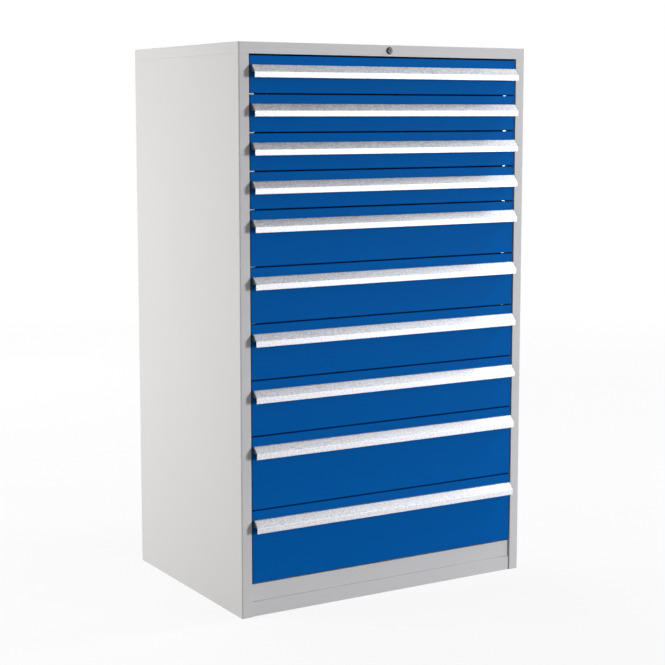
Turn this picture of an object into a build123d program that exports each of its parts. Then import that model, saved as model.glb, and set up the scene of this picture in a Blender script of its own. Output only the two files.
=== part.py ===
from build123d import *
from math import cos, radians, sin
import os

# Tall workshop cabinet of folded sheet steel: ten full-width drawers on telescopic slides, one grip
# rail across every drawer front, and one lock that works a hooked bar behind all the drawers.
# Millimetres. +Z is up, the drawers open towards -Y, and the origin lies on the floor under the
# middle of the whole cabinet, grip rails included.

# Carcass
CABINET_WIDTH = 920.0
CARCASS_DEPTH = 650.0
SHEET = 1.2
FOLD_RADIUS = 1.6
CORNER_RADIUS = 4.0
SIDE_FLANGE = 20.0
POST_WIDTH = 30.0
POST_DEPTH = 50.0
UPRIGHT_DEPTH = 50.0
UPRIGHT_FLANGE = 25.0
LID_HEIGHT = 30.0
LID_LIP = 25.0
PLINTH_HEIGHT = 40.0
PLINTH_LIP = 18.0
PLINTH_RECESS = 3.2
SEAM = 0.2
BACK_FLOOR_GAP = 3.0
BACK_OVERLAP = 15.0

# Drawer grid: heights in steps of one slot pitch, and how many of each height, from the top down
GRID_PITCH = 50.0
LOW_STEPS, LOW_COUNT = 2, 4
MIDDLE_STEPS, MIDDLE_COUNT = 3, 4
HIGH_STEPS, HIGH_COUNT = 4, 2
FILLER_ZONE = 50.0
FILLER_RECESS = 5.5
HEAD_GAP = 2.5

# Drawer fronts
FRONT_GAP = 3.6
FRONT_SIDE_GAP = 3.4
FRONT_RECESS = 2.0
FRONT_DEPTH = 20.0
FRONT_LIP = 32.0

# Grip rail: an extrusion with a closed canopy, a lip that hangs below it, and a cap on each end
GRIP_DROP = 25.5
GRIP_CANOPY = 17.8
GRIP_LIP_DROP = 15.2
GRIP_DEPTH = 23.4
GRIP_LEDGE = 6.5
GRIP_ROUND = 2.5
GRIP_WALL = 1.8
GRIP_LIP = 2.0
GRIP_LIP_ROUND = 0.9
GRIP_END_GAP = 2.0
GRIP_CAP = 1.2

# Trays
TRAY_SHEET = 1.0
TRAY_LIFT = 10.0
TRAY_HEADROOM = 25.0
TRAY_RIM = 8.0

# Telescopic slides: cabinet rail, carriage and drawer rail, nested with ball rows between them
SLIDE_SHEET = 1.5
SLIDE_THICKNESS = 28.0
SLIDE_HEIGHT = 45.0
SLIDE_DROP = 3.1
SLIDE_LIP = 2.0
SLIDE_SIDE_GAP = 1.5
RAIL_FRONT_GAP = 0.5
RAIL_SEAT = 28.0
ROW_HEIGHT = 3.6
ROW_WIDTH = 9.0
ROW_CLEARANCE = 0.25
CARRIAGE_SETBACK = 6.0
STOP_TAB = 4.3

# Hooks that hang each cabinet rail in the slots of a post and an upright
HOOK_WIDTH = 8.0
HOOK_NECK = 12.0
HOOK_DROP = 4.0
HOOK_SHEET = 1.5
HOOK_CLEARANCE = 0.3
HOOK_SETBACK = 13.0

# Lock: housing, key plug, and the square shaft that carries the turn to the back
LOCK_HEAD_DIAMETER = 20.0
LOCK_FACE_DIAMETER = 15.0
LOCK_HEAD_OUT = 4.5
LOCK_BODY_DIAMETER = 16.0
LOCK_BODY_LENGTH = 26.0
LOCK_HOLE_CLEARANCE = 0.2
LOCK_NUT_WIDTH = 21.0
LOCK_NUT_LENGTH = 5.0
PLUG_DIAMETER = 11.0
PLUG_CLEARANCE = 0.05
PLUG_OUT = 0.8
PLUG_TAIL = 5.0
KEY_SLOT_WIDTH = 1.8
KEY_SLOT_HEIGHT = 7.4
KEY_SLOT_DEPTH = 12.0
SHAFT_SIDE = 6.0
SHAFT_SOCKET = 10.0
SHAFT_CLEARANCE = 0.05
CRANK_RADIUS = 10.0
CRANK_ANGLE = 45.0
CRANK_THICKNESS = 4.0
CRANK_HUB_RADIUS = 6.5
CRANK_EYE_RADIUS = 4.5
CRANK_PIN_RADIUS = 2.5
CRANK_GAP = 1.0
BRACKET_SHEET = 3.0
BRACKET_FOOT = 20.0
BRACKET_WIDTH = 26.0
BRACKET_DROP = 9.0
BRACKET_CLEARANCE = 0.3

# Lock bar with its hooks, the catches on the trays, and the guides on the back panel
LOCK_SPACE = 37.6
BAR_THICKNESS = 3.0
BAR_MARGIN = 7.0
BAR_BACK_GAP = 0.3
BAR_FOOT = 12.0
BAR_SLOT_CLEARANCE = 0.5
BAR_SLOT_WALL = 2.2
CATCH_RISE = 20.0
CATCH_WIDTH = 20.0
CATCH_SHEET = 2.0
CATCH_REACH = 20.0
CATCH_PLAY = 1.0
CATCH_CLEARANCE = 1.5
GUIDE_RISE = 72.0
GUIDE_HEIGHT = 14.0
GUIDE_SHEET = 2.0
GUIDE_FOOT = 10.0
GUIDE_CLEARANCE = 0.3

# Rivets that hold the back panel to the uprights
RIVET_ROWS = 7
RIVET_RADIUS = 2.0
RIVET_CLEARANCE = 0.05
RIVET_HEAD_RADIUS = 4.0
RIVET_HEAD = 1.0
RIVET_EDGE = 60.0
RIVET_INSET = 12.0

# Levels that follow from the drawer heights
DRAWER_STEPS = [LOW_STEPS] * LOW_COUNT + [MIDDLE_STEPS] * MIDDLE_COUNT + [HIGH_STEPS] * HIGH_COUNT
DRAWER_COUNT = len(DRAWER_STEPS)
Z_STACK = PLINTH_HEIGHT + FILLER_ZONE
Z_STACK_TOP = Z_STACK + sum(DRAWER_STEPS) * GRID_PITCH
Z_LID = Z_STACK_TOP + HEAD_GAP
Z_TOP = Z_LID + LID_HEIGHT
Z_LOCK = Z_LID + LID_HEIGHT / 2

# Planes across the width
X_SIDE = CABINET_WIDTH / 2
X_FLANGE = X_SIDE - SIDE_FLANGE
X_OPEN = X_SIDE - POST_WIDTH
X_FRONT = X_OPEN - FRONT_SIDE_GAP
X_GRIP = X_FRONT - GRIP_END_GAP
X_TRAY = X_OPEN - SLIDE_THICKNESS

# Planes through the depth
Y_BACK = (CARCASS_DEPTH + GRIP_DEPTH - FRONT_RECESS) / 2
Y_POST = Y_BACK - CARCASS_DEPTH
Y_FACE = Y_POST + FRONT_RECESS
Y_TRAY = Y_FACE + FRONT_DEPTH
Y_BACK_IN = Y_BACK - 2 * SHEET
Y_TRAY_END = Y_BACK_IN - LOCK_SPACE
Y_UPRIGHT_END = Y_BACK_IN - SHEET
Y_UPRIGHT = Y_UPRIGHT_END - UPRIGHT_DEPTH
Y_RAIL = Y_TRAY + RAIL_FRONT_GAP
Y_RAIL_END = Y_UPRIGHT + RAIL_SEAT
Y_PLUG = Y_POST - LOCK_HEAD_OUT - PLUG_OUT
Y_PLUG_END = Y_POST + LOCK_BODY_LENGTH + PLUG_TAIL
Y_BAR = Y_BACK_IN - BAR_BACK_GAP - BAR_THICKNESS
Y_CRANK = Y_BAR - CRANK_GAP - CRANK_THICKNESS

# Slide members nest in height and in width, and every rail starts just below its drawer's front
SLIDE_RISE = SLIDE_HEIGHT / 2 - SLIDE_DROP
HALF_RAIL = SLIDE_HEIGHT / 2
HALF_CARRIAGE = HALF_RAIL - SLIDE_SHEET - ROW_HEIGHT
HALF_DRAWER_RAIL = HALF_CARRIAGE - SLIDE_SHEET - ROW_HEIGHT
X_CARRIAGE = -X_OPEN + SLIDE_SHEET + SLIDE_SIDE_GAP
X_CARRIAGE_END = -X_TRAY - SLIDE_SHEET - SLIDE_SIDE_GAP

# The crank pin swings the same angle below and above the shaft, and the bar follows its height
PIN_X = -CRANK_RADIUS * cos(radians(CRANK_ANGLE))
PIN_Z = -CRANK_RADIUS * sin(radians(CRANK_ANGLE))
LOCK_TRAVEL = -2 * PIN_Z
BAR_SLOT_LENGTH = CRANK_RADIUS + PIN_X + 2 * (CRANK_PIN_RADIUS + BAR_SLOT_CLEARANCE)
BAR_SLOT_HEIGHT = 2 * (CRANK_PIN_RADIUS + BAR_SLOT_CLEARANCE)
BAR_WIDTH = BAR_SLOT_LENGTH + 2 * BAR_MARGIN
X_BAR = (PIN_X - CRANK_RADIUS) / 2


def block(x_range, y_range, z_range):
    """Box between two planes in each direction."""
    sizes = [high - low for low, high in (x_range, y_range, z_range)]
    middles = [(low + high) / 2 for low, high in (x_range, y_range, z_range)]
    return Pos(*middles) * Box(*sizes)


def along_x(section, x_range):
    """Solid of a section drawn in Y and Z, between two planes across the width."""
    return extrude(Plane.YZ.offset(x_range[0]) * section, amount=x_range[1] - x_range[0])


def along_y(section, y_range):
    """Solid of a section drawn in X and Z, between two planes through the depth."""
    return extrude(Plane.XZ.offset(-y_range[1]) * section, amount=y_range[1] - y_range[0])


def both_sides(left):
    """A left-hand piece and its mirror image on the right."""
    return [left, mirror(left, about=Plane.YZ)]


def group(solids):
    """Separate solids that share one node."""
    return Compound(children=list(solids))


def drawer_floors():
    """Lower module line of every drawer, from the top down."""
    level = Z_STACK_TOP
    for steps in DRAWER_STEPS:
        level -= steps * GRID_PITCH
        yield level


# Carcass

def slot_row(y_middle):
    """Row of hook slots through the inner wall of a left-hand post or upright, one per grid step."""
    z_low = -HOOK_NECK / 2 - HOOK_CLEARANCE
    z_high = HOOK_NECK / 2 + HOOK_DROP + HOOK_CLEARANCE
    half = HOOK_WIDTH / 2 + HOOK_CLEARANCE
    first = Z_STACK + SLIDE_RISE
    x_range = (-X_OPEN - SHEET, -X_OPEN)
    y_range = (y_middle - half, y_middle + half)
    levels = [first + step * GRID_PITCH for step in range(sum(DRAWER_STEPS))]
    return [block(x_range, y_range, (level + z_low, level + z_high)) for level in levels]


def side_room(y_end, z_range):
    """Space inside the folds of the left side, rounded where the front fold bends."""
    room = block((-X_SIDE + SHEET, -X_FLANGE), (Y_POST + SHEET, y_end), z_range)
    bend = room.edges().filter_by(Axis.Z).group_by(Axis.X)[0].sort_by(Axis.Y)[0]
    return fillet(bend, CORNER_RADIUS - SHEET)


def side_panel():
    """Left side: one sheet folded inwards on all four edges, with a wide front fold that shows."""
    z_top = Z_LID - SEAM
    panel = block((-X_SIDE, -X_FLANGE), (Y_POST, Y_BACK), (0, z_top))
    panel = fillet(panel.edges().filter_by(Axis.Z).group_by(Axis.X)[0].sort_by(Axis.Y)[0], CORNER_RADIUS)
    panel = fillet(panel.edges().filter_by(Axis.Z).group_by(Axis.X)[0].sort_by(Axis.Y)[-1], FOLD_RADIUS)
    panel -= side_room(Y_BACK - SHEET, (SHEET, z_top - SHEET))
    panel -= side_room(Y_POST + POST_DEPTH, (0, z_top))
    return panel + block((-X_FLANGE, -X_OPEN), (Y_POST, Y_POST + SHEET), (0, z_top))


def front_post():
    """Left front post: a channel behind the side's front fold, with the slots for the rails."""
    x_face = -X_SIDE + CORNER_RADIUS
    y_range = (Y_POST + SHEET, Y_POST + POST_DEPTH)
    post = block((x_face, -X_OPEN), y_range, (0, Z_LID))
    inside_y = (y_range[0] + SHEET, y_range[1] - SHEET)
    post -= block((x_face, -X_OPEN - SHEET), inside_y, (0, Z_LID))
    return post - slot_row(Y_RAIL + HOOK_SETBACK)


def rear_upright():
    """Left rear upright: a slotted channel whose back flange also carries the back panel."""
    x_range = (-X_SIDE + SHEET, -X_OPEN)
    z_range = (SHEET, Z_LID - SEAM - SHEET)
    upright = block(x_range, (Y_UPRIGHT, Y_UPRIGHT_END), z_range)
    inside_y = (Y_UPRIGHT + SHEET, Y_UPRIGHT_END)
    upright -= block((x_range[0], x_range[1] - SHEET), inside_y, z_range)
    upright += block((x_range[0], x_range[1] + UPRIGHT_FLANGE), (Y_UPRIGHT_END, Y_BACK_IN), z_range)
    upright -= slot_row(Y_RAIL_END - HOOK_SETBACK)
    return upright - rivet_shanks(RIVET_RADIUS + RIVET_CLEARANCE)


def lid():
    """Top: a pan turned down all round, with lips under its front and sides and the lock's hole."""
    top = block((-X_SIDE, X_SIDE), (Y_POST, Y_BACK), (Z_LID, Z_TOP))
    top = fillet(top.edges().filter_by(Axis.Z).group_by(Axis.Y)[0], CORNER_RADIUS)
    top = fillet(top.edges().filter_by(Axis.Z).group_by(Axis.Y)[-1], FOLD_RADIUS)
    top = fillet(top.edges().group_by(Axis.Z)[-1], FOLD_RADIUS)
    y_inside = (Y_POST + SHEET, Y_BACK - SHEET)
    inside = block((-X_SIDE + SHEET, X_SIDE - SHEET), y_inside, (Z_LID + SHEET, Z_TOP - SHEET))
    top -= fillet(inside.edges().filter_by(Axis.Z).group_by(Axis.Y)[0], CORNER_RADIUS - SHEET)
    y_mouth = (Y_POST + LID_LIP, Y_BACK - SHEET)
    top -= block((-X_SIDE + LID_LIP, X_SIDE - LID_LIP), y_mouth, (Z_LID, Z_LID + SHEET))
    hole = Circle(LOCK_BODY_DIAMETER / 2 + LOCK_HOLE_CLEARANCE)
    return top - along_y(Pos(0, Z_LOCK) * hole, (Y_POST, Y_POST + SHEET))


def base_pan():
    """Base: a pan whose front edge is the plinth, with lips all round that stand on the floor."""
    x_range = (-X_OPEN, X_OPEN)
    y_range = (Y_POST + PLINTH_RECESS, Y_UPRIGHT_END)
    base = block(x_range, y_range, (0, PLINTH_HEIGHT))
    base = fillet(base.edges().group_by(Axis.Z)[-1].sort_by(Axis.Y)[0], FOLD_RADIUS)
    inside = [(low + SHEET, high - SHEET) for low, high in (x_range, y_range)]
    mouth = [(low + PLINTH_LIP, high - PLINTH_LIP) for low, high in (x_range, y_range)]
    base -= block(*inside, (SHEET, PLINTH_HEIGHT - SHEET))
    return base - block(*mouth, (0, SHEET))


def filler_strip():
    """Strip that closes the space between the plinth and the lowest drawer, folded like a front."""
    z_range = (PLINTH_HEIGHT, Z_STACK - FRONT_GAP / 2)
    half = X_OPEN - SEAM
    y_strip = Y_POST + FILLER_RECESS
    strip = block((-half, half), (y_strip, Y_TRAY), z_range)
    strip = fillet(strip.edges().group_by(Axis.Y)[0].filter_by(Axis.X), FOLD_RADIUS)
    inside_z = (z_range[0] + SHEET, z_range[1] - SHEET)
    return strip - block((-half + SHEET, half - SHEET), (y_strip + SHEET, Y_TRAY), inside_z)


def rivet_places():
    """Level and place across the width of every rivet in the back panel."""
    low = RIVET_EDGE
    step = (Z_LID - 2 * RIVET_EDGE) / (RIVET_ROWS - 1)
    x_rivet = X_OPEN - RIVET_INSET
    return [(side * x_rivet, low + row * step) for row in range(RIVET_ROWS) for side in (-1, 1)]


def rivet_shanks(radius):
    """Round bars through the back panel and the uprights' flanges."""
    y_range = (Y_UPRIGHT_END, Y_BACK_IN + SHEET)
    return [along_y(Pos(*place) * Circle(radius), y_range) for place in rivet_places()]


def back_panel():
    """Back: a flat sheet inside the sides' flanges, running up behind the lid's rear edge."""
    gap = SEAM
    y_range = (Y_BACK_IN, Y_BACK - SHEET)
    half = X_SIDE - SHEET - gap
    z_corner = Z_LID - SEAM - SHEET - gap
    panel = block((-half, half), y_range, (BACK_FLOOR_GAP, z_corner))
    neck = X_SIDE - max(LID_LIP, SIDE_FLANGE) - gap
    panel += block((-neck, neck), y_range, (z_corner, Z_LID + BACK_OVERLAP))
    return panel - rivet_shanks(RIVET_RADIUS + RIVET_CLEARANCE)


def rivets():
    """Domed-over rivets, low enough to stay inside the step of the sides' flanges."""
    y_head = (Y_BACK - SHEET, Y_BACK - SHEET + RIVET_HEAD)
    shanks = rivet_shanks(RIVET_RADIUS)
    heads = [along_y(Pos(*place) * Circle(RIVET_HEAD_RADIUS), y_head) for place in rivet_places()]
    return [shank + head for shank, head in zip(shanks, heads)]


# Telescopic slides, left-hand side

def slide_channel(x_web, reach, half_height, lip=0.0):
    """Section of one slide member: a channel open towards +X, or towards -X for a negative reach."""
    inward = 1 if reach > 0 else -1
    depth = abs(reach)
    outer = Rectangle(depth, 2 * half_height)
    inner = Rectangle(depth - 2 * SLIDE_SHEET, 2 * (half_height - SLIDE_SHEET))
    mouth = Rectangle(SLIDE_SHEET, 2 * (half_height - SLIDE_SHEET - lip))
    x_mouth = inward * (depth - SLIDE_SHEET) / 2
    return Pos(x_web + reach / 2, 0) * (outer - inner - Pos(x_mouth, 0) * mouth)


def cabinet_rail(level):
    """Fixed rail: a hook at each end hangs it in post and upright, a tab in front stops the balls."""
    reach = SLIDE_THICKNESS - SLIDE_SIDE_GAP
    section = Pos(0, level) * slide_channel(-X_OPEN, reach, HALF_RAIL, SLIDE_LIP)
    rail = along_y(section, (Y_RAIL, Y_RAIL_END))
    z_tab = (level - HALF_RAIL, level - HALF_RAIL + STOP_TAB)
    rail += block((-X_OPEN, -X_OPEN + reach), (Y_RAIL, Y_RAIL + SLIDE_SHEET), z_tab)
    x_wall = -X_OPEN - SHEET - HOOK_CLEARANCE
    z_neck = (level - HOOK_NECK / 2, level + HOOK_NECK / 2)
    for y_hook in (Y_RAIL + HOOK_SETBACK, Y_RAIL_END - HOOK_SETBACK):
        y_range = (y_hook - HOOK_WIDTH / 2, y_hook + HOOK_WIDTH / 2)
        rail += block((x_wall, -X_OPEN), y_range, z_neck)
        rail += block((x_wall - HOOK_SHEET, x_wall), y_range, (z_neck[0] - HOOK_DROP, z_neck[1]))
    return rail


def carriage(level):
    """Middle slide member: its rear ball rows run in the cabinet rail, its front ones in the drawer's."""
    y_range = (Y_RAIL + CARRIAGE_SETBACK, Y_RAIL_END - CARRIAGE_SETBACK)
    y_middle = sum(y_range) / 2
    section = slide_channel(X_CARRIAGE, X_CARRIAGE_END - X_CARRIAGE, HALF_CARRIAGE)
    bar = along_y(Pos(0, level) * section, y_range)
    x_row = (X_CARRIAGE + SLIDE_SHEET + X_CARRIAGE_END) / 2
    row = Rectangle(ROW_WIDTH, ROW_HEIGHT - ROW_CLEARANCE)
    outer_height = HALF_CARRIAGE + (ROW_HEIGHT - ROW_CLEARANCE) / 2
    inner_height = HALF_CARRIAGE - SLIDE_SHEET - (ROW_HEIGHT - ROW_CLEARANCE) / 2
    for side in (-1, 1):
        bar += along_y(Pos(x_row, level + side * outer_height) * row, (y_middle, y_range[1]))
        bar += along_y(Pos(x_row, level + side * inner_height) * row, (y_range[0], y_middle))
    return bar


def drawer_rail(level):
    """Inner slide member, fixed to the tray's side and open towards the carriage."""
    reach = X_CARRIAGE + SLIDE_SHEET + SLIDE_SIDE_GAP + X_TRAY
    section = Pos(0, level) * slide_channel(-X_TRAY, reach, HALF_DRAWER_RAIL)
    return along_y(section, (Y_RAIL, Y_TRAY_END))


# Drawers

def tray(floor, height):
    """Open tray with rolled-out side rims and, at its back, the catch for the lock bar."""
    top = floor + height
    y_range = (Y_TRAY, Y_TRAY_END)
    half = X_TRAY - TRAY_SHEET
    y_inside = (Y_TRAY + TRAY_SHEET, Y_TRAY_END - TRAY_SHEET)
    box = block((-X_TRAY, X_TRAY), y_range, (floor, top))
    box -= block((-half, half), y_inside, (floor + TRAY_SHEET, top))
    rim = block((-X_TRAY - TRAY_RIM, -X_TRAY), y_range, (top - TRAY_SHEET, top))
    return box + both_sides(rim) + catch(floor + CATCH_RISE)


def catch(level):
    """Tab at the back of a tray with a turned-down lip that the lock bar's hook rises in front of."""
    x_range = (X_BAR - CATCH_WIDTH / 2, X_BAR + CATCH_WIDTH / 2)
    y_end = Y_TRAY_END + CATCH_REACH
    tab = block(x_range, (Y_TRAY_END, y_end), (level, level + CATCH_SHEET))
    return tab + block(x_range, (y_end - CATCH_SHEET, y_end), (level - LOCK_TRAVEL, level))


def drawer_front(z_range):
    """Front: a sheet folded back on four edges, with lips that lie against the tray."""
    x_range = (-X_FRONT, X_FRONT)
    y_range = (Y_FACE, Y_TRAY)
    face = block(x_range, y_range, z_range)
    face = fillet(face.edges().group_by(Axis.Y)[0], FOLD_RADIUS)
    inside = [(low + SHEET, high - SHEET) for low, high in (x_range, y_range, z_range)]
    face -= block(*inside)
    mouth = [(low + FRONT_LIP, high - FRONT_LIP) for low, high in (x_range, z_range)]
    return face - block(mouth[0], (Y_TRAY - SHEET, Y_TRAY), mouth[1])


def grip_outline():
    """Outline of the grip rail, drawn outwards from the front's face, top at level zero."""
    brow = (-GRIP_DEPTH, -GRIP_CANOPY)
    canopy = Polygon((0, 0), (-GRIP_LEDGE, 0), brow, (0, -GRIP_CANOPY), align=None)
    lip = Rectangle(GRIP_LIP, GRIP_LIP_DROP)
    outline = canopy + Pos(GRIP_LIP / 2 - GRIP_DEPTH, -GRIP_CANOPY - GRIP_LIP_DROP / 2) * lip
    ledge_corner = outline.vertices().group_by(Axis.Y)[-1].sort_by(Axis.X)[0]
    brow_corner = outline.vertices().group_by(Axis.X)[0].sort_by(Axis.Y)[-1]
    outline = fillet([ledge_corner, brow_corner], GRIP_ROUND)
    return fillet(outline.vertices().group_by(Axis.Y)[0], GRIP_LIP_ROUND)


def grip_rail(z_top):
    """Full-width grip: hollow canopy, hanging lip, and a flat cap on each end of the canopy."""
    place = Pos(Y_FACE, z_top)
    outline = grip_outline()
    canopy = outline & Pos(-GRIP_DEPTH / 2, -GRIP_CANOPY / 2) * Rectangle(GRIP_DEPTH, GRIP_CANOPY)
    chamber = offset(canopy, amount=-GRIP_WALL)
    x_body = X_GRIP - GRIP_CAP
    body = along_x(place * (outline - chamber), (-x_body, x_body))
    cap = along_x(place * canopy, (-X_GRIP, -x_body))
    return [body] + both_sides(cap)


# Lock

def lock_housing():
    """Bevelled head and barrel, bored for the key plug, with the nut that clamps it in the lid."""
    radius = LOCK_BODY_DIAMETER / 2
    head = Cone(LOCK_HEAD_DIAMETER / 2, LOCK_FACE_DIAMETER / 2, LOCK_HEAD_OUT)
    head = Pos(0, 0, LOCK_HEAD_OUT / 2) * head
    barrel = Pos(0, 0, -LOCK_BODY_LENGTH / 2) * Cylinder(radius, LOCK_BODY_LENGTH)
    bore = Cylinder(PLUG_DIAMETER / 2 + PLUG_CLEARANCE, 2 * (LOCK_BODY_LENGTH + LOCK_HEAD_OUT))
    nut_face = RegularPolygon(LOCK_NUT_WIDTH / 2, 6, major_radius=False)
    nut_face -= Circle(radius + PLUG_CLEARANCE)
    nut = Pos(0, 0, -SHEET - LOCK_NUT_LENGTH) * extrude(nut_face, amount=LOCK_NUT_LENGTH)
    place = Plane((0, Y_POST, Z_LOCK), x_dir=(1, 0, 0), z_dir=(0, -1, 0)).location
    return [place * (head + barrel - bore), place * nut]


def lock_plug():
    """Key plug with its key slot in front and a square socket for the shaft behind."""
    plug = along_y(Circle(PLUG_DIAMETER / 2), (Y_PLUG, Y_PLUG_END))
    plug -= along_y(Rectangle(KEY_SLOT_WIDTH, KEY_SLOT_HEIGHT), (Y_PLUG, Y_PLUG + KEY_SLOT_DEPTH))
    socket = Rectangle(SHAFT_SIDE + 2 * SHAFT_CLEARANCE, SHAFT_SIDE + 2 * SHAFT_CLEARANCE)
    plug -= along_y(socket, (Y_PLUG_END - SHAFT_SOCKET, Y_PLUG_END))
    return Pos(0, 0, Z_LOCK) * plug


def lock_shaft():
    """Square shaft with the crank and its pin at the back, drawn unlocked: the pin stands low."""
    bar = along_y(Rectangle(SHAFT_SIDE, SHAFT_SIDE), (Y_PLUG_END - SHAFT_SOCKET, Y_CRANK))
    pin_place = Pos(PIN_X, PIN_Z)
    arm = make_hull((Circle(CRANK_HUB_RADIUS) + pin_place * Circle(CRANK_EYE_RADIUS)).edges())
    bar += along_y(arm, (Y_CRANK, Y_CRANK + CRANK_THICKNESS))
    bar += along_y(pin_place * Circle(CRANK_PIN_RADIUS), (Y_CRANK, Y_BAR + BAR_THICKNESS))
    return Pos(0, 0, Z_LOCK) * bar


def shaft_bracket():
    """Angle under the lid with the hole that carries the back end of the lock shaft."""
    z_under = Z_TOP - SHEET
    x_range = (-BRACKET_WIDTH / 2, BRACKET_WIDTH / 2)
    y_plate = (Y_CRANK - CRANK_GAP - BRACKET_SHEET, Y_CRANK - CRANK_GAP)
    angle = block(x_range, y_plate, (Z_LOCK - BRACKET_DROP, z_under))
    angle += block(x_range, (y_plate[1] - BRACKET_FOOT, y_plate[0]), (z_under - BRACKET_SHEET, z_under))
    hole = Circle(SHAFT_SIDE / 2 * 2 ** 0.5 + BRACKET_CLEARANCE)
    return angle - along_y(Pos(0, Z_LOCK) * hole, y_plate)


def lock_bar():
    """Flat bar behind the drawers: a cross slot for the crank pin and one forward hook per drawer."""
    half = BAR_WIDTH / 2
    y_range = (Y_BAR, Y_BAR + BAR_THICKNESS)
    z_slot = Z_LOCK + PIN_Z
    z_top = z_slot + BAR_SLOT_HEIGHT / 2 + BAR_SLOT_WALL
    bar = block((X_BAR - half, X_BAR + half), y_range, (Z_STACK - BAR_FOOT, z_top))
    bar -= along_y(Pos(X_BAR, z_slot) * Rectangle(BAR_SLOT_LENGTH, BAR_SLOT_HEIGHT), y_range)
    return bar + [bar_hook(floor + TRAY_LIFT + CATCH_RISE) for floor in drawer_floors()]


def bar_hook(catch_level):
    """Hook drawn unlocked, clear below the lip of a catch, which it rises in front of when locked."""
    x_range = (X_BAR - CATCH_WIDTH / 2, X_BAR + CATCH_WIDTH / 2)
    y_lip_end = Y_TRAY_END + CATCH_REACH - CATCH_SHEET - CATCH_PLAY
    y_lip = y_lip_end - CATCH_SHEET
    z_high = catch_level - LOCK_TRAVEL - CATCH_CLEARANCE
    z_arm = z_high - LOCK_TRAVEL
    arm = block(x_range, (y_lip, Y_BAR), (z_arm - CATCH_SHEET, z_arm))
    return arm + block(x_range, (y_lip, y_lip_end), (z_arm, z_high))


def bar_guide(floor):
    """Strap on the back panel that the lock bar slides through."""
    inner = BAR_WIDTH / 2 + GUIDE_CLEARANCE
    outer = inner + GUIDE_SHEET
    z_range = (floor + GUIDE_RISE, floor + GUIDE_RISE + GUIDE_HEIGHT)
    y_strap = Y_BAR - GUIDE_CLEARANCE
    strap = block((X_BAR - outer, X_BAR + outer), (y_strap - GUIDE_SHEET, Y_BACK_IN), z_range)
    strap -= block((X_BAR - inner, X_BAR + inner), (y_strap, Y_BACK_IN), z_range)
    y_foot = (Y_BACK_IN - GUIDE_SHEET, Y_BACK_IN)
    for x_foot in (X_BAR - outer - GUIDE_FOOT, X_BAR + outer):
        strap += block((x_foot, x_foot + GUIDE_FOOT), y_foot, z_range)
    return strap


def drawer_nodes():
    """Tray with its rails, front, grip and carriages of every drawer, numbered from the top down."""
    nodes = {}
    for number, (floor, steps) in enumerate(zip(drawer_floors(), DRAWER_STEPS), start=1):
        top = floor + steps * GRID_PITCH
        tray_floor = floor + TRAY_LIFT
        slide_level = floor + SLIDE_RISE
        tray_height = steps * GRID_PITCH - TRAY_HEADROOM
        tray_solid = tray(tray_floor, tray_height)
        name = f"drawer_{number:02d}"
        nodes[f"{name}_tray"] = group([tray_solid] + both_sides(drawer_rail(slide_level)))
        nodes[f"{name}_front"] = drawer_front((floor + FRONT_GAP / 2, top - FRONT_GAP / 2))
        nodes[f"{name}_grip_rail"] = group(grip_rail(top - GRIP_DROP))
        nodes[f"{name}_carriages"] = group(both_sides(carriage(slide_level)))
    return nodes


def carcass_nodes():
    """Everything that stands still, apart from the lock."""
    left_panel, right_panel = both_sides(side_panel())
    left_post, right_post = both_sides(front_post())
    left_upright, right_upright = both_sides(rear_upright())
    rails = [both_sides(cabinet_rail(floor + SLIDE_RISE)) for floor in drawer_floors()]
    return {
        "left_side_panel": left_panel,
        "right_side_panel": right_panel,
        "left_front_post": left_post,
        "right_front_post": right_post,
        "left_rear_upright": left_upright,
        "right_rear_upright": right_upright,
        "lid": lid(),
        "base_pan": base_pan(),
        "filler_strip": filler_strip(),
        "back_panel": back_panel(),
        "back_panel_rivets": group(rivets()),
        "left_cabinet_rails": group(left for left, right in rails),
        "right_cabinet_rails": group(right for left, right in rails),
    }


def lock_nodes():
    """The lock from its housing to the bar behind the drawers."""
    floors = list(drawer_floors())
    guided = (floors[0], floors[DRAWER_COUNT // 2], floors[-1])
    return {
        "lock_housing": group(lock_housing()),
        "lock_plug": lock_plug(),
        "lock_shaft": lock_shaft(),
        "lock_shaft_bracket": shaft_bracket(),
        "lock_bar": lock_bar(),
        "lock_bar_guides": group(bar_guide(floor) for floor in guided),
    }


os.makedirs("parts", exist_ok=True)
for node, shape in {**carcass_nodes(), **drawer_nodes(), **lock_nodes()}.items():
    export_step(shape, f"parts/{node}.step")
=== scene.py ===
"""Finishes, studio and camera of the tall drawer cabinet: an add-on that is run as a script."""

import math
from typing import NamedTuple

import bpy
from bpy.props import FloatProperty, FloatVectorProperty, PointerProperty
from bpy.types import Operator, Panel, PropertyGroup
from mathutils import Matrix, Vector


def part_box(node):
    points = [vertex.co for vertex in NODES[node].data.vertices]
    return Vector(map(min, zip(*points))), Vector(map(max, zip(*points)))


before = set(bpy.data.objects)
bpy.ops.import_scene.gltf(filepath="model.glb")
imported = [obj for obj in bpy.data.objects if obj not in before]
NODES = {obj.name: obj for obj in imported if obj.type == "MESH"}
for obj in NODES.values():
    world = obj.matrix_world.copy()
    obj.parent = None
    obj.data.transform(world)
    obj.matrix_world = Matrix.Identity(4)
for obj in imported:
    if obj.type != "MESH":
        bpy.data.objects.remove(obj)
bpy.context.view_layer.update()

bl_info = {
    "name": "Drawer Cabinet",
    "version": (1, 0, 0),
    "blender": (4, 5, 0),
    "location": "3D View > Sidebar > Cabinet",
    "description": "Paints, metals, lights and camera of a tall drawer cabinet",
    "category": "Object",
}

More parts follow.
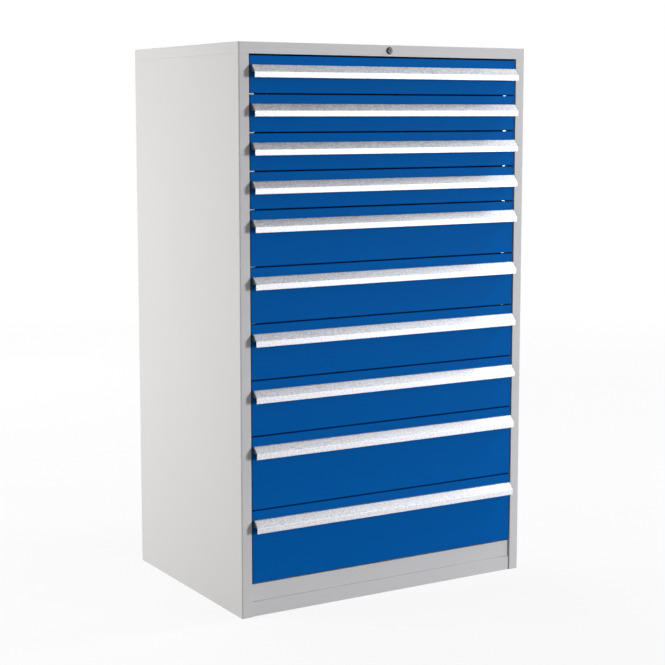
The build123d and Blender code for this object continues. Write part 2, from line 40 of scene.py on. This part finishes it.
DRAWERS = sorted(
    name.removesuffix("_front") for name in NODES
    if name.startswith("drawer_") and name.endswith("_front"))
PAINTED = (
    "left_side_panel", "right_side_panel", "left_front_post", "right_front_post",
    "left_rear_upright", "right_rear_upright", "lid", "base_pan", "filler_strip", "back_panel",
)
PLATED = (
    "left_cabinet_rails", "right_cabinet_rails", "lock_shaft", "lock_shaft_bracket",
    "lock_bar", "lock_bar_guides", "back_panel_rivets",
)
CHROMED = ("lock_housing", "lock_plug")

# Where a node changes from one finish to another, in metres
CAP_DEPTH = 0.0011  # faces this near to a grip's end belong to its cap
LIP_EDGE = 0.002  # lower edge of a grip's lip, anodised all round
RAIL_SIDE = 0.4021  # just outside a tray's sides, where its slide members begin
RIM_ZONE = 0.004  # top of a tray with its turned-out rims, which are painted

# Places in a node's list of finishes, after the one that covers the rest
# a grip's second finish is its cap, its third the painted shade on its inner faces
GRIP_CAP, GRIP_SHADE_PAINT = 1, 2
TRAY_RAIL = 1

TURNED_IN = 0.5  # part of a normal above which a face of a grip looks back or down
COAT_SWING = 0.05  # most that a powder coat's roughness departs from its mean
NOISE_LOW, NOISE_HIGH = 0.3, 0.7  # range that most of a soft noise falls in
FADE_START = 0.25  # share of the floor's fade distance at which the fade begins
WHITE = (1.0, 1.0, 1.0, 1.0)

# Colours of the lamps, and the camera's fixed settings
COOL, WARM, PLAIN = (0.960, 0.962, 1.0), (1.0, 0.985, 0.97), (1.0, 1.0, 1.0)
SENSOR_WIDTH = 36.0  # millimetres
CLIP_END = 100.0  # metres


class Lamp(NamedTuple):
    """Soft box: name of its power setting, place, point it faces, width and height, colour."""
    power: str
    place: tuple
    target: tuple
    size: tuple
    colour: tuple


LAMPS = {
    "key_lamp": Lamp("key_power", (6.6, -7.4, 1.3), (0.0, -0.3, 0.8), (1.6, 2.4), COOL),
    "side_lamp": Lamp("side_power", (-3.0, 1.0, 0.95), (-0.46, 0.1, 0.62), (1.6, 2.2), WARM),
    "top_lamp": Lamp("top_power", (3.0, -0.75, 3.2), (0.2, -0.33, 0.5), (0.8, 0.8), COOL),
    "back_lamp": Lamp("back_power", (0.0, 4.6, 2.2), (0.0, 0.33, 0.75), (2.2, 1.8), PLAIN),
}


def tint(label, note, colour):
    """Colour setting in linear light."""
    return FloatVectorProperty(
        name=label, description=note, subtype="COLOR", size=3, min=0.0, max=1.0, default=colour)


def share(label, note, value):
    """Setting between nought and one."""
    return FloatProperty(
        name=label, description=note, subtype="FACTOR", min=0.0, max=1.0, default=value)


def length(label, note, value):
    """Length setting in metres."""
    return FloatProperty(
        name=label, description=note, subtype="DISTANCE", unit="LENGTH", default=value)


def angle(label, note, degrees):
    """Angle setting, given in degrees."""
    return FloatProperty(
        name=label, description=note, subtype="ANGLE", unit="ROTATION",
        default=math.radians(degrees))


def power(label, note, watts):
    """Lamp setting in watts."""
    return FloatProperty(
        name=label, description=note, subtype="POWER", unit="POWER", default=watts)


class CABINET_PG_paint(PropertyGroup):
    """Powder coats of the carcass, the fronts and the trays."""
    grey: tint("Carcass grey", "Powder coat of the carcass", (0.600, 0.599, 0.598))
    blue: tint("Front blue", "Powder coat of the drawer fronts", (0.0004, 0.100, 0.376))
    tray: tint("Tray grey", "Paint inside the drawers", (0.50, 0.51, 0.515))
    peel: length("Peel size", "Width of one dimple of the powder coat", 0.0016)
    grey_roughness: share("Grey roughness", "Mean roughness of the carcass paint", 0.56)
    blue_roughness: share("Blue roughness", "Mean roughness of the front paint", 0.55)
    tray_roughness: share("Tray roughness", "Mean roughness of the tray paint", 0.45)
    grey_gloss: share("Grey gloss", "Specular level of the carcass paint", 0.05)
    blue_gloss: share("Blue gloss", "Specular level of the front paint", 0.015)
    tray_gloss: share("Tray gloss", "Specular level of the tray paint", 0.3)


class CABINET_PG_metal(PropertyGroup):
    """Bare metals and the caps on the grips."""
    aluminium: tint("Grip aluminium", "Matt anodised extrusion of the grips", (0.415, 0.42, 0.435))
    # painted shade: near-black colour on the grips' inner faces, standing in for the shade of the
    # recess behind the lip
    grip_shade_colour: tint("Grip inside", "Dull inner faces of the grips", (0.06, 0.06, 0.063))
    cap: tint("Grip cap", "Plastic cap on the end of a grip", (0.085, 0.09, 0.095))
    zinc: tint("Zinc", "Plated steel of the slides and the lock bar", (0.27, 0.285, 0.30))
    chrome: tint("Lock chrome", "Plated face of the lock", (0.034, 0.034, 0.036))
    speckle: length("Speckle size", "Width of one speck of the matt anodising", 0.0048)
    grip_roughness: share("Grip roughness", "Mean roughness of the anodising", 0.53)


class CABINET_PG_stage(PropertyGroup):
    """Floor, light from all round and lamps."""
    floor_width: length("Floor width", "Side of the square floor", 40.0)
    floor_tone: tint("Floor tone", "Colour of the floor", (0.80, 0.80, 0.80))
    floor_bounce: tint(
        "Floor bounce", "Tone of the floor for the light it returns", (0.38, 0.38, 0.38))
    floor_white: share(
        "Floor white", "Share of plain white over the floor's shading near the cabinet", 0.86)
    floor_fade: length(
        "Floor fade", "Distance at which the floor has gone over to plain white", 6.0)
    ambient: share("Ambient", "Strength of the even light from all round", 0.31)
    key_power: power("Key power", "Lamp at the front right", 665.0)
    side_power: power("Side power", "Lamp at the left", 82.0)
    top_power: power("Top power", "Lamp above and to the right of the front", 71.0)
    back_power: power("Back power", "Lamp behind the cabinet", 85.0)


class CABINET_PG_camera(PropertyGroup):
    """Viewpoint of the picture."""
    place: FloatVectorProperty(
        name="Place", description="Point that the camera stands at", subtype="XYZ", unit="LENGTH",
        size=3, default=(-2.3197, -3.8818, 1.3407))
    heading: angle("Heading", "Turn to the right of straight ahead", 30.958)
    dip: angle("Dip", "Tilt below the horizon", 6.834)
    lens: FloatProperty(
        name="Lens", description="Focal length in millimetres", subtype="DISTANCE_CAMERA",
        unit="CAMERA", default=84.168)
    shift: FloatProperty(
        name="Shift", description="Upward shift as a share of the frame", default=-0.05)


class Finish:
    """Node tree of one material, with short calls to add and join nodes."""

    def __init__(self, name):
        self.material = bpy.data.materials.new(name)
        self.material.use_nodes = True
        self.tree = self.material.node_tree
        self.tree.nodes.clear()
        self.output = self.add("ShaderNodeOutputMaterial")
        self.coords = self.add("ShaderNodeTexCoord")

    def add(self, kind, inputs=None, **settings):
        """New node, its inputs joined to sockets or set to values."""
        node = self.tree.nodes.new(kind)
        for key, value in settings.items():
            setattr(node, key, value)
        for key, value in (inputs or {}).items():
            if isinstance(value, bpy.types.NodeSocket):
                self.tree.links.new(value, node.inputs[key])
            else:
                node.inputs[key].default_value = value
        return node

    def noise(self, size, detail=2.0, stretch=(1.0, 1.0, 1.0), roughness=0.5):
        """Soft noise with features about size metres wide, longer where stretch is above one."""
        scaled = self.add("ShaderNodeMapping", {
            "Vector": self.coords.outputs["Object"],
            "Scale": [1.0 / (size * s) for s in stretch]})
        noise = self.add("ShaderNodeTexNoise", {
            "Vector": scaled.outputs["Vector"], "Scale": 1.0,
            "Detail": detail, "Roughness": roughness})
        return noise.outputs["Fac"]

    def spread(self, value, low, high, start=NOISE_LOW, end=NOISE_HIGH):
        """Value carried over to a range of numbers."""
        mapped = self.add("ShaderNodeMapRange", {
            "Value": value, "From Min": start, "From Max": end, "To Min": low, "To Max": high})
        return mapped.outputs["Result"]

    def shades(self, value, colour, depth):
        """Colour that wanders by depth around its own brightness."""
        ramp = self.add("ShaderNodeValToRGB", {"Fac": value})
        low, high = ramp.color_ramp.elements
        low.position, high.position = NOISE_LOW, NOISE_HIGH
        low.color = [c * (1.0 - depth) for c in colour] + [1.0]
        high.color = [min(1.0, c * (1.0 + depth)) for c in colour] + [1.0]
        return ramp.outputs["Color"]

    def blend(self, first, second, amount):
        """Two colours mixed, as one colour."""
        node = self.add("ShaderNodeMix", data_type="RGBA")
        colours = [socket for socket in node.inputs if socket.type == "RGBA"]
        node.inputs[0].default_value = amount
        self.tree.links.new(first, colours[0])
        self.tree.links.new(second, colours[1])
        return next(socket for socket in node.outputs if socket.type == "RGBA")

    def bumps(self, height, strength, distance, under=None):
        """Surface relief from a height, laid over another relief."""
        inputs = {"Height": height, "Strength": strength, "Distance": distance}
        if under is not None:
            inputs["Normal"] = under
        return self.add("ShaderNodeBump", inputs).outputs["Normal"]

    def surface(self, **inputs):
        """Closes the tree with the shader and returns the material."""
        shader = self.add(
            "ShaderNodeBsdfPrincipled", {k.replace("_", " "): v for k, v in inputs.items()})
        self.tree.links.new(shader.outputs["BSDF"], self.output.inputs["Surface"])
        return self.material


def powder_coat(name, colour, roughness, gloss, peel):
    """Baked powder coat: an orange-peel skin over sheet that is never quite flat."""
    finish = Finish(name)
    dimples = finish.noise(peel)
    drift = finish.noise(size=0.35)
    wave = finish.noise(size=0.11, detail=1.0)
    grain = finish.shades(dimples, colour, depth=0.025)
    cloud = finish.shades(drift, colour, depth=0.012)
    relief = finish.bumps(wave, strength=0.05, distance=0.002)
    relief = finish.bumps(dimples, strength=0.10, distance=0.0003, under=relief)
    return finish.surface(
        Base_Color=finish.blend(grain, cloud, amount=0.5),
        Roughness=finish.spread(dimples, roughness - COAT_SWING, roughness + COAT_SWING),
        Normal=relief,
        Specular_IOR_Level=gloss)


def anodised(name, colour, roughness, speck):
    """Blasted and anodised extrusion: fine specks over faint lines along its length."""
    finish = Finish(name)
    specks = finish.noise(speck, detail=1.5, stretch=(1.3, 1.0, 1.0), roughness=0.6)
    lines = finish.noise(size=0.0011, stretch=(90.0, 1.0, 1.0))
    mottle = finish.shades(specks, colour, depth=0.32)
    drawn = finish.shades(lines, colour, depth=0.06)
    relief = finish.bumps(specks, strength=0.10, distance=0.0005)
    relief = finish.bumps(lines, strength=0.05, distance=0.0002, under=relief)
    smoother, rougher = 0.07, 0.09
    return finish.surface(
        Base_Color=finish.blend(mottle, drawn, amount=0.25),
        Metallic=1.0,
        Roughness=finish.spread(specks, roughness - smoother, roughness + rougher),
        Normal=relief)


def zinc_plate(name, colour):
    """Bright zinc with the cloudy tint of its passivation and faint rolling lines."""
    finish = Finish(name)
    cloud = finish.noise(size=0.018, detail=3.0)
    lines = finish.noise(size=0.0009, stretch=(1.0, 60.0, 1.0))
    cool = finish.shades(cloud, colour, depth=0.10)
    drawn = finish.shades(lines, colour, depth=0.06)
    return finish.surface(
        Base_Color=finish.blend(cool, drawn, amount=0.4),
        Metallic=1.0,
        Roughness=finish.spread(cloud, low=0.28, high=0.42),
        Normal=finish.bumps(lines, strength=0.06, distance=0.0002))


def lock_plate(name, colour):
    """Satin chrome with fine handling marks."""
    finish = Finish(name)
    marks = finish.noise(size=0.0006, detail=3.0)
    haze = finish.noise(size=0.004)
    return finish.surface(
        Base_Color=finish.shades(haze, colour, depth=0.06),
        Metallic=1.0,
        Roughness=finish.spread(haze, low=0.20, high=0.32),
        Normal=finish.bumps(marks, strength=0.03, distance=0.0001))


def cap_and_shade_finish(name, colour):
    """Dull surface with an eroded grain, as on moulded plastic; made near black, it is also the
    painted shade on the grips' inner faces.
    """
    finish = Finish(name)
    grain = finish.noise(size=0.0007)
    return finish.surface(
        Base_Color=finish.shades(grain, colour, depth=0.05),
        Roughness=finish.spread(grain, low=0.48, high=0.62),
        Normal=finish.bumps(grain, strength=0.08, distance=0.0002),
        Specular_IOR_Level=0.35)


def dress(node, *finishes):
    """Gives a CAD node its finishes, the first of them all over."""
    piece = NODES[node]
    piece.data.materials.clear()
    for finish in finishes:
        piece.data.materials.append(finish)
    for face in piece.data.polygons:
        face.material_index = 0
    return piece


class CABINET_OT_carcass(Operator):
    """Coats the carcass sheets in textured light grey."""
    bl_idname = "cabinet.carcass"
    bl_label = "Coat Carcass"

    def execute(self, context):
        paint = context.scene.cabinet_paint
        coat = powder_coat(
            "grey_powder_coat", paint.grey, paint.grey_roughness, paint.grey_gloss, paint.peel)
        for node in PAINTED:
            dress(node, coat)
        return {"FINISHED"}


class CABINET_OT_fronts(Operator):
    """Coats the drawer fronts in textured blue."""
    bl_idname = "cabinet.fronts"
    bl_label = "Coat Drawer Fronts"

    def execute(self, context):
        paint = context.scene.cabinet_paint
        coat = powder_coat(
            "blue_powder_coat", paint.blue, paint.blue_roughness, paint.blue_gloss, paint.peel)
        for drawer in DRAWERS:
            dress(drawer + "_front", coat)
        return {"FINISHED"}


class CABINET_OT_grips(Operator):
    """Gives the grips their anodised skin, a near-black painted shade on their inner faces and
    moulded caps on their ends.
    """
    bl_idname = "cabinet.grips"
    bl_label = "Finish Grips"

    def execute(self, context):
        metal = context.scene.cabinet_metal
        skin = anodised(
            "matt_anodised_grip", metal.aluminium, metal.grip_roughness, metal.speckle)
        moulding = cap_and_shade_finish("grip_cap_plastic", metal.cap)
        # painted shade: the grips' inner faces are coloured near black in place of the shade
        # behind the lip
        shadow_paint = cap_and_shade_finish("dull_grip_inside", metal.grip_shade_colour)
        for drawer in DRAWERS:
            node = drawer + "_grip_rail"
            grip = dress(node, skin, moulding, shadow_paint)
            low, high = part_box(node)
            for face in grip.data.polygons:
                turned_in = max(face.normal.y, -face.normal.z) > TURNED_IN
                if abs(face.center.x) > high.x - CAP_DEPTH:
                    face.material_index = GRIP_CAP
                # inner faces that look back or down, above the lip's lower edge, get the painted
                # shade
                elif turned_in and face.center.z > low.z + LIP_EDGE:
                    face.material_index = GRIP_SHADE_PAINT
        return {"FINISHED"}


class CABINET_OT_trays(Operator):
    """Paints the trays and leaves the slide members on their sides in zinc."""
    bl_idname = "cabinet.trays"
    bl_label = "Finish Trays"

    def execute(self, context):
        paint, metal = context.scene.cabinet_paint, context.scene.cabinet_metal
        coat = powder_coat(
            "tray_powder_coat", paint.tray, paint.tray_roughness, paint.tray_gloss, paint.peel)
        plate = zinc_plate("drawer_rail_zinc", metal.zinc)
        for drawer in DRAWERS:
            tray = dress(drawer + "_tray", coat, plate)
            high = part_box(drawer + "_tray")[1]
            for face in tray.data.polygons:
                if abs(face.center.x) > RAIL_SIDE and face.center.z < high.z - RIM_ZONE:
                    face.material_index = TRAY_RAIL
        return {"FINISHED"}


class CABINET_OT_slides(Operator):
    """Plates the fixed rails, the carriages, the hidden lock gear and the rivets."""
    bl_idname = "cabinet.slides"
    bl_label = "Plate Slides"

    def execute(self, context):
        plate = zinc_plate("zinc_plated_steel", context.scene.cabinet_metal.zinc)
        for node in PLATED:
            dress(node, plate)
        for drawer in DRAWERS:
            dress(drawer + "_carriages", plate)
        return {"FINISHED"}


class CABINET_OT_lock(Operator):
    """Chromes the lock that shows in the lid."""
    bl_idname = "cabinet.lock"
    bl_label = "Chrome Lock"

    def execute(self, context):
        plate = lock_plate("satin_chrome", context.scene.cabinet_metal.chrome)
        for node in CHROMED:
            dress(node, plate)
        return {"FINISHED"}


def seen_directly(tree):
    """One where the eye or a mirror looks at a surface, nought where light falls from it."""
    rays = tree.nodes.new("ShaderNodeLightPath")
    total = rays.outputs["Is Camera Ray"]
    for kind in ("Is Glossy Ray", "Is Transmission Ray"):
        either = tree.nodes.new("ShaderNodeMath")
        either.operation = "MAXIMUM"
        tree.links.new(total, either.inputs[0])
        tree.links.new(rays.outputs[kind], either.inputs[1])
        total = either.outputs[0]
    return total


def white_surroundings(scene, ambient):
    """World that looks white and lights the cabinet at its own strength."""
    world = bpy.data.worlds.new("white_surroundings")
    world.use_nodes = True
    scene.world = world
    tree = world.node_tree
    tree.nodes.clear()
    glow = tree.nodes.new("ShaderNodeBackground")
    glow.inputs["Strength"].default_value = ambient
    view = tree.nodes.new("ShaderNodeBackground")
    view.inputs["Strength"].default_value = 1.0
    for background in (glow, view):
        background.inputs["Color"].default_value = WHITE
    choice = tree.nodes.new("ShaderNodeMixShader")
    output = tree.nodes.new("ShaderNodeOutputWorld")
    tree.links.new(seen_directly(tree), choice.inputs[0])
    tree.links.new(glow.outputs[0], choice.inputs[1])
    tree.links.new(view.outputs[0], choice.inputs[2])
    tree.links.new(choice.outputs[0], output.inputs["Surface"])


def floor_finish(tone, bounce, white, fade):
    """Pale matt floor, washed towards white where it is looked at, with the shadow still in it."""
    finish = Finish("pale_floor")
    grain = finish.noise(size=0.4)
    seen = seen_directly(finish.tree)
    pale, dim = (
        finish.add("ShaderNodeBsdfDiffuse", {"Color": finish.shades(grain, colour, depth=0.01)})
        for colour in (tone, bounce))
    matt = finish.add("ShaderNodeMixShader", {0: seen, 1: dim.outputs[0], 2: pale.outputs[0]})
    wash = finish.add("ShaderNodeEmission", {"Color": WHITE, "Strength": 1.0})
    away = finish.add(
        "ShaderNodeVectorMath", {0: finish.coords.outputs["Object"]}, operation="LENGTH")
    cover = finish.spread(
        away.outputs["Value"], low=white, high=1.0, start=fade * FADE_START, end=fade)
    amount = finish.add("ShaderNodeMath", {0: seen, 1: cover}, operation="MULTIPLY")
    mix = finish.add(
        "ShaderNodeMixShader", {0: amount.outputs[0], 1: matt.outputs[0], 2: wash.outputs[0]})
    finish.tree.links.new(mix.outputs[0], finish.output.inputs["Surface"])
    return finish.material


def lay_floor(scene, stage):
    """Square floor that the cabinet stands on."""
    half = stage.floor_width / 2
    sheet = bpy.data.meshes.new("floor")
    corners = [(-half, -half, 0.0), (half, -half, 0.0), (half, half, 0.0), (-half, half, 0.0)]
    sheet.from_pydata(corners, [], [(0, 1, 2, 3)])
    sheet.materials.append(
        floor_finish(stage.floor_tone, stage.floor_bounce, stage.floor_white, stage.floor_fade))
    floor = bpy.data.objects.new("floor", sheet)
    scene.collection.objects.link(floor)


def hang_lamp(scene, name, lamp, watts):
    """Rectangular soft box turned towards its target, itself unseen."""
    light = bpy.data.lights.new(name, "AREA")
    light.shape = "RECTANGLE"
    light.size, light.size_y = lamp.size
    light.energy = watts
    light.color = lamp.colour
    holder = bpy.data.objects.new(name, light)
    holder.location = lamp.place
    x, y, z = (t - p for t, p in zip(lamp.target, lamp.place))
    holder.rotation_euler = (math.atan2(math.hypot(x, y), -z), 0.0, math.atan2(-x, y))
    holder.visible_camera = False
    scene.collection.objects.link(holder)


def stand_camera(scene, view):
    """Camera at the picture's viewpoint."""
    camera = bpy.data.cameras.new("picture_camera")
    camera.lens = view.lens
    camera.sensor_width = SENSOR_WIDTH
    camera.shift_y = view.shift
    camera.clip_end = CLIP_END
    holder = bpy.data.objects.new("picture_camera", camera)
    holder.location = view.place
    holder.rotation_euler = (math.pi / 2 - view.dip, 0.0, -view.heading)
    scene.collection.objects.link(holder)
    scene.camera = holder


class CABINET_OT_stage(Operator):
    """Lays the floor, hangs the lamps and sets up the camera."""
    bl_idname = "cabinet.stage"
    bl_label = "Set Stage"

    def execute(self, context):
        scene = context.scene
        stage = scene.cabinet_stage
        lay_floor(scene, stage)
        white_surroundings(scene, stage.ambient)
        for name, lamp in LAMPS.items():
            hang_lamp(scene, name, lamp, getattr(stage, lamp.power))
        stand_camera(scene, scene.cabinet_camera)
        scene.view_settings.view_transform = "Standard"
        return {"FINISHED"}


OPERATORS = (
    CABINET_OT_carcass, CABINET_OT_fronts, CABINET_OT_grips, CABINET_OT_trays,
    CABINET_OT_slides, CABINET_OT_lock, CABINET_OT_stage,
)
SETTINGS = {
    "cabinet_paint": CABINET_PG_paint,
    "cabinet_metal": CABINET_PG_metal,
    "cabinet_stage": CABINET_PG_stage,
    "cabinet_camera": CABINET_PG_camera,
}


class CABINET_PT_sidebar(Panel):
    """Settings and steps of the cabinet."""
    bl_idname = "CABINET_PT_sidebar"
    bl_label = "Drawer Cabinet"
    bl_space_type = "VIEW_3D"
    bl_region_type = "UI"
    bl_category = "Cabinet"

    def draw(self, context):
        for key, group in SETTINGS.items():
            column = self.layout.box().column()
            column.label(text=group.__doc__)
            for setting in group.__annotations__:
                column.prop(getattr(context.scene, key), setting)
        for operator in OPERATORS:
            self.layout.operator(operator.bl_idname)


def register():
    """Makes the settings, the steps and the panel known."""
    for group in SETTINGS.values():
        bpy.utils.register_class(group)
    for cls in (*OPERATORS, CABINET_PT_sidebar):
        bpy.utils.register_class(cls)
    for key, group in SETTINGS.items():
        setattr(bpy.types.Scene, key, PointerProperty(type=group))


def unregister():
    """Takes them away again."""
    for key in SETTINGS:
        delattr(bpy.types.Scene, key)
    for cls in (CABINET_PT_sidebar, *reversed(OPERATORS), *reversed(SETTINGS.values())):
        bpy.utils.unregister_class(cls)


def main():
    """Runs every step in order."""
    register()
    bpy.ops.cabinet.carcass()
    bpy.ops.cabinet.fronts()
    bpy.ops.cabinet.grips()
    bpy.ops.cabinet.trays()
    bpy.ops.cabinet.slides()
    bpy.ops.cabinet.lock()
    bpy.ops.cabinet.stage()


if __name__ == "__main__":
    main()
